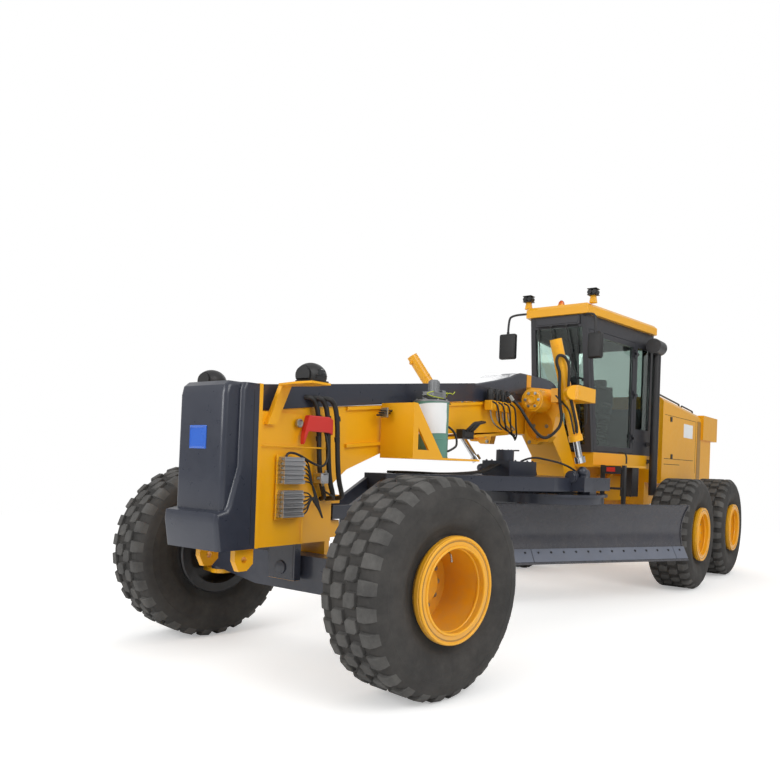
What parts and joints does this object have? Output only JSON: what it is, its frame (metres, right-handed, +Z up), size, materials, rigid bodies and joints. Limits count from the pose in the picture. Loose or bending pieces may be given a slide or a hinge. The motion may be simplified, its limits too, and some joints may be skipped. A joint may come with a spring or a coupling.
{
  "type": "motor grader",
  "caption": "Hinged-frame grader: arched front beam with cab, steered front wheels, tandem rear wheels, and a drawbar and turning circle that carry a curved sliding blade.",
  "frame": {"origin": "middle of the machine's footprint on the ground, under the centre of its bounding box", "axes": "+X forward along the machine, +Y to its left, +Z up"},
  "size_m": [12.15, 3.5248, 4.22],
  "materials": {
    "yellow_paint": "gloss construction-yellow enamel",
    "slate_paint": "satin dark slate enamel",
    "black_paint": "satin black enamel",
    "black_plastic": "moulded black plastic",
    "bare_aluminium": "cast",
    "green_paint": "semi-gloss green enamel",
    "hose_rubber": "matt",
    "tinted_glass": "green-tinted safety glass",
    "chrome_rod": "polished",
    "seat_fabric": "woven",
    "engine_grey": "matt",
    "tyre_rubber": "moulded rubber"
  },
  "bodies": {
    "rear_frame": {"rear_frame": "yellow_paint", "engine_block": "engine_grey", "hood": "yellow_paint", "hood_trim": "black_paint"},
    "front_frame": {"gooseneck": "yellow_paint", "beam_cover": "slate_paint", "cowl": "slate_paint", "saddle": "yellow_paint", "front_brackets": "yellow_paint", "headlamps": "black_plastic", "hydraulic_blocks": "bare_aluminium", "grease_barrel": "green_paint", "front_hoses": "hose_rubber", "cab_frame": "black_paint", "cab_glass": "tinted_glass", "cab_roof": "black_paint", "cab_platform": "yellow_paint", "ladders": "black_paint", "cab_duct": "black_paint", "mirrors": "black_plastic", "roof_lamps": "black_plastic", "seat": "seat_fabric", "console": "black_plastic"},
    "door_left": {"door_left": "black_paint", "door_glass_left": "tinted_glass"},
    "door_right": {"door_right": "black_paint", "door_glass_right": "tinted_glass"},
    "front_axle": {"front_axle": "yellow_paint"},
    "knuckle_left": {"knuckle_left": "yellow_paint"},
    "knuckle_right": {"knuckle_right": "yellow_paint"},
    "tie_rod": {"tie_rod": "slate_paint"},
    "tandem_left": {"tandem_left": "slate_paint"},
    "tandem_right": {"tandem_right": "slate_paint"},
    "drawbar_ball": {"drawbar_ball": "slate_paint"},
    "drawbar": {"drawbar": "slate_paint"},
    "circle": {"circle": "slate_paint"},
    "blade_carrier": {"blade_carrier": "slate_paint"},
    "moldboard": {"moldboard": "slate_paint"},
    "lift_barrel_left": {"lift_barrel_left": "yellow_paint"},
    "lift_barrel_right": {"lift_barrel_right": "yellow_paint"},
    "lift_rod_left": {"lift_rod_left": "chrome_rod"},
    "lift_rod_right": {"lift_rod_right": "chrome_rod"},
    "wheel_front_left": {"tyre_front_left": "tyre_rubber", "rim_front_left": "yellow_paint"},
    "wheel_front_right": {"tyre_front_right": "tyre_rubber", "rim_front_right": "yellow_paint"},
    "wheel_middle_left": {"tyre_middle_left": "tyre_rubber", "rim_middle_left": "yellow_paint"},
    "wheel_middle_right": {"tyre_middle_right": "tyre_rubber", "rim_middle_right": "yellow_paint"},
    "wheel_rear_left": {"tyre_rear_left": "tyre_rubber", "rim_rear_left": "yellow_paint"},
    "wheel_rear_right": {"tyre_rear_right": "tyre_rubber", "rim_rear_right": "yellow_paint"}
  },
  "joints": [
    {"name": "articulation", "type": "hinge", "parent": "rear_frame", "child": "front_frame", "pos_m": [-1.705, 0, 1.42], "axis": [0, 0, 1], "range_deg": [-20, 20]},
    {"name": "door_left_swing", "type": "hinge", "parent": "front_frame", "child": "door_left", "pos_m": [-1.75227, 0.63993, 2.85], "axis": [0, 0, 1], "range_deg": [0, 80]},
    {"name": "door_right_swing", "type": "hinge", "parent": "front_frame", "child": "door_right", "pos_m": [-1.75227, -0.63993, 2.85], "axis": [0, 0, -1], "range_deg": [0, 80]},
    {"name": "axle_swing", "type": "hinge", "parent": "front_frame", "child": "front_axle", "pos_m": [4.895, 0, 0.8], "axis": [1, 0, 0], "range_deg": [-12, 12]},
    {"name": "steer_left", "type": "hinge", "parent": "front_axle", "child": "knuckle_left", "pos_m": [4.895, 1, 0.8085], "axis": [0, 0, 1], "range_deg": [-35.4, 54.6]},
    {"name": "steer_right", "type": "hinge", "parent": "front_axle", "child": "knuckle_right", "pos_m": [4.895, -1, 0.8085], "axis": [0, 0, 1], "range_deg": [-35.4, 54.6]},
    {"name": "tie_rod_pivot", "type": "hinge", "parent": "knuckle_left", "child": "tie_rod", "pos_m": [4.55961, 0.99587, 0.6], "axis": [0, 0, 1], "range_deg": [-54.6, 35.4]},
    {"name": "spin_front_left", "type": "hinge", "parent": "knuckle_left", "child": "wheel_front_left", "pos_m": [4.95337, 1.3451, 0.8085], "axis": [0.1668, 0.986, 0], "continuous": true},
    {"name": "spin_front_right", "type": "hinge", "parent": "knuckle_right", "child": "wheel_front_right", "pos_m": [4.83663, -1.3451, 0.8085], "axis": [0.1668, 0.986, 0], "continuous": true},
    {"name": "tandem_left_swing", "type": "hinge", "parent": "rear_frame", "child": "tandem_left", "pos_m": [-2.905, 0.895, 0.8085], "axis": [0, 1, 0], "range_deg": [-15, 15]},
    {"name": "tandem_right_swing", "type": "hinge", "parent": "rear_frame", "child": "tandem_right", "pos_m": [-2.905, -0.895, 0.8085], "axis": [0, -1, 0], "range_deg": [-15, 15]},
    {"name": "spin_middle_left", "type": "hinge", "parent": "tandem_left", "child": "wheel_middle_left", "pos_m": [-1.88, 1.35, 0.8085], "axis": [0, 1, 0], "continuous": true},
    {"name": "spin_middle_right", "type": "hinge", "parent": "tandem_right", "child": "wheel_middle_right", "pos_m": [-1.88, -1.35, 0.8085], "axis": [0, 1, 0], "continuous": true},
    {"name": "spin_rear_left", "type": "hinge", "parent": "tandem_left", "child": "wheel_rear_left", "pos_m": [-3.93, 1.35, 0.8085], "axis": [0, 1, 0], "continuous": true},
    {"name": "spin_rear_right", "type": "hinge", "parent": "tandem_right", "child": "wheel_rear_right", "pos_m": [-3.93, -1.35, 0.8085], "axis": [0, 1, 0], "continuous": true},
    {"name": "drawbar_shift", "type": "hinge", "parent": "front_frame", "child": "drawbar_ball", "pos_m": [4.565, 0, 1.25], "axis": [0, 0, -1], "range_deg": [-3, 3]},
    {"name": "drawbar_lift", "type": "hinge", "parent": "drawbar_ball", "child": "drawbar", "pos_m": [4.565, 0, 1.25], "axis": [0.0949, 0.9955, 0], "range_deg": [-8, 3]},
    {"name": "circle_turn", "type": "hinge", "parent": "drawbar", "child": "circle", "pos_m": [0.895, 0.35, 1.34], "axis": [0, 0, 1], "range_deg": [-90, 0]},
    {"name": "blade_pitch", "type": "hinge", "parent": "circle", "child": "blade_carrier", "pos_m": [0.93, 0.41062, 0.8], "axis": [-0.866, 0.5, 0], "range_deg": [0, 25]},
    {"name": "blade_side_shift", "type": "slide", "parent": "blade_carrier", "child": "moldboard", "axis": [-0.866, 0.5, 0], "range_m": [-0.5, 0.45]},
    {"name": "lift_barrel_left_swing", "type": "hinge", "parent": "front_frame", "child": "lift_barrel_left", "pos_m": [1.447, 0.894, 2.58], "axis": [-0.6835, -0.7292, 0.0334], "range_deg": [-1.94, 4.68]},
    {"name": "lift_rod_left_slide", "type": "slide", "parent": "lift_barrel_left", "child": "lift_rod_left", "axis": [0.2116, -0.1541, 0.9651], "range_m": [-0.4738, 0.1796]},
    {"name": "lift_barrel_right_swing", "type": "hinge", "parent": "front_frame", "child": "lift_barrel_right", "pos_m": [1.447, -0.894, 2.58], "axis": [-0.8658, -0.4984, 0.0445], "range_deg": [-4.16, 10.6]},
    {"name": "lift_rod_right_slide", "type": "slide", "parent": "lift_barrel_right", "child": "lift_rod_right", "axis": [0.308, -0.4608, 0.8323], "range_m": [-0.4276, 0.1622]}
  ],
  "couplings": [
    {"joint": "steer_right", "follows": "steer_left", "ratio": 1},
    {"joint": "tie_rod_pivot", "follows": "steer_left", "ratio": -1},
    {"joint": "lift_barrel_left_swing", "follows": "drawbar_lift", "ratio": -0.5474},
    {"joint": "lift_rod_left_slide", "follows": "drawbar_lift", "m_per_rad": 3.3721},
    {"joint": "lift_barrel_right_swing", "follows": "drawbar_lift", "ratio": -1.2871},
    {"joint": "lift_rod_right_slide", "follows": "drawbar_lift", "m_per_rad": 3.0411}
  ]
}
